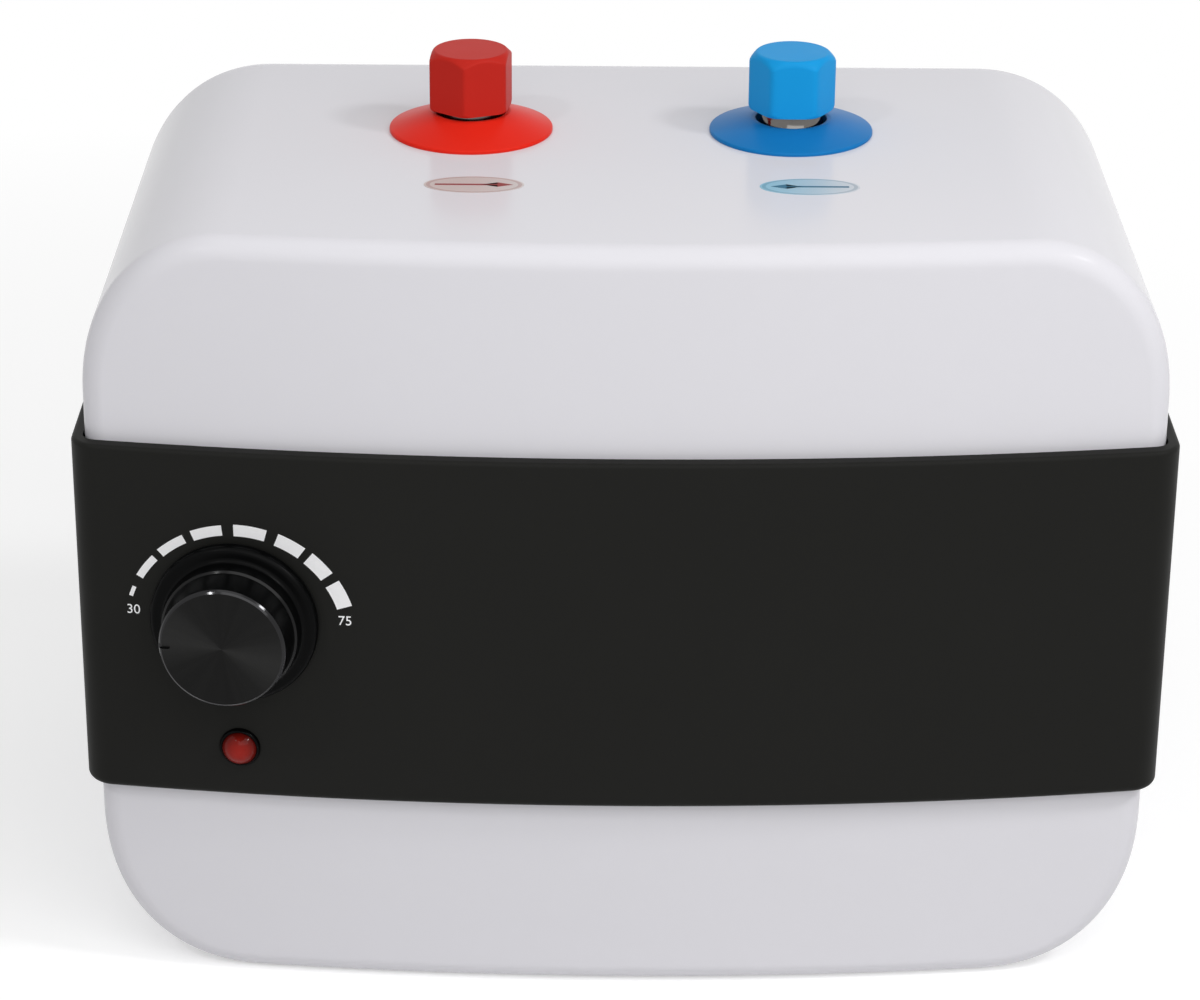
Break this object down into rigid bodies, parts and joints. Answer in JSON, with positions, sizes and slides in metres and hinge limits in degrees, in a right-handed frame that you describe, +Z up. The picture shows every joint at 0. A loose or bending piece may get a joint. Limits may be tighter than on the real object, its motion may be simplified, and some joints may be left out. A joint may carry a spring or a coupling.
{
  "type": "under-sink electric water heater",
  "caption": "Rounded white storage water heater with a dark control belt, temperature knob, lamp and capped hot and cold pipe nipples on top.",
  "frame": {"origin": "middle of the white housing's underside, at the middle of its width and depth", "axes": "+X to the right seen from the front, +Y to the back, +Z up"},
  "size_m": [0.35, 0.2334, 0.2856],
  "materials": {
    "white_plastic": "gloss",
    "belt_plastic": "satin",
    "black_plastic": "gloss",
    "dark_aluminium": "spun",
    "red_plastic": "satin",
    "blue_plastic": "satin",
    "lens_plastic": "clear",
    "chromed_brass": "polished",
    "zinc_steel": "zinc plated",
    "enamel": "vitreous enamel",
    "stainless": "plain",
    "foam": "foamed",
    "rubber": "matte",
    "pipe_plastic": "plain",
    "insulator": "plain",
    "copper": "drawn",
    "magnesium": "plain",
    "bakelite": "plain",
    "button_plastic": "gloss",
    "brown_wire": "plain",
    "blue_wire": "plain",
    "grey_wire": "plain"
  },
  "bodies": {
    "heater": {"upper_housing": "white_plastic", "lower_housing": "white_plastic", "seam_screws": "zinc_steel", "belt": "belt_plastic", "belt_screws": "zinc_steel", "service_cover": "white_plastic", "cover_screws": "zinc_steel", "upper_tank": "enamel", "lower_tank": "enamel", "upper_foam": "foam", "lower_foam": "foam", "hot_nipple": "chromed_brass", "cold_nipple": "chromed_brass", "hot_collar": "red_plastic", "cold_collar": "blue_plastic", "dip_tube": "pipe_plastic", "heater_flange": "stainless", "flange_gasket": "rubber", "flange_bolts": "zinc_steel", "heating_element": "stainless", "element_bushes": "insulator", "sensor_pocket": "stainless", "sensor_bulb": "copper", "capillary_tube": "copper", "anode_rod": "magnesium", "anode_nut": "zinc_steel", "thermal_cutout": "bakelite", "thermostat": "insulator", "thermostat_screws": "zinc_steel", "lamp_holder": "black_plastic", "lamp_lens": "lens_plastic", "lamp_nut": "black_plastic", "terminal_block": "insulator", "block_screws": "zinc_steel", "cord_gland": "rubber", "live_wire": "brown_wire", "load_wire": "brown_wire", "neutral_wire": "blue_wire", "lamp_wire": "grey_wire", "wall_bracket": "zinc_steel", "bracket_screws": "zinc_steel"},
    "knob": {"knob": "black_plastic", "knob_insert": "dark_aluminium", "thermostat_spindle": "zinc_steel"},
    "hot_cap": {"hot_cap": "red_plastic", "hot_cap_seal": "rubber"},
    "cold_cap": {"cold_cap": "blue_plastic", "cold_cap_seal": "rubber"},
    "reset_button": {"reset_button": "button_plastic"}
  },
  "joints": [
    {"name": "knob_turn", "type": "hinge", "parent": "heater", "child": "knob", "pos_m": [-0.123, -0.09304, 0.132], "axis": [0.1129, 0.9936, 0], "range_deg": [0, 175]},
    {"name": "hot_cap_lift", "type": "slide", "parent": "heater", "child": "hot_cap", "axis": [0, 0, 1], "range_m": [0, 0.06]},
    {"name": "cold_cap_lift", "type": "slide", "parent": "heater", "child": "cold_cap", "axis": [0, 0, 1], "range_m": [0, 0.06]},
    {"name": "reset_press", "type": "slide", "parent": "heater", "child": "reset_button", "axis": [0, 0, 1], "range_m": [0, 0.0015], "stiffness_N_per_m": 300, "springref_m": -0.001}
  ]
}
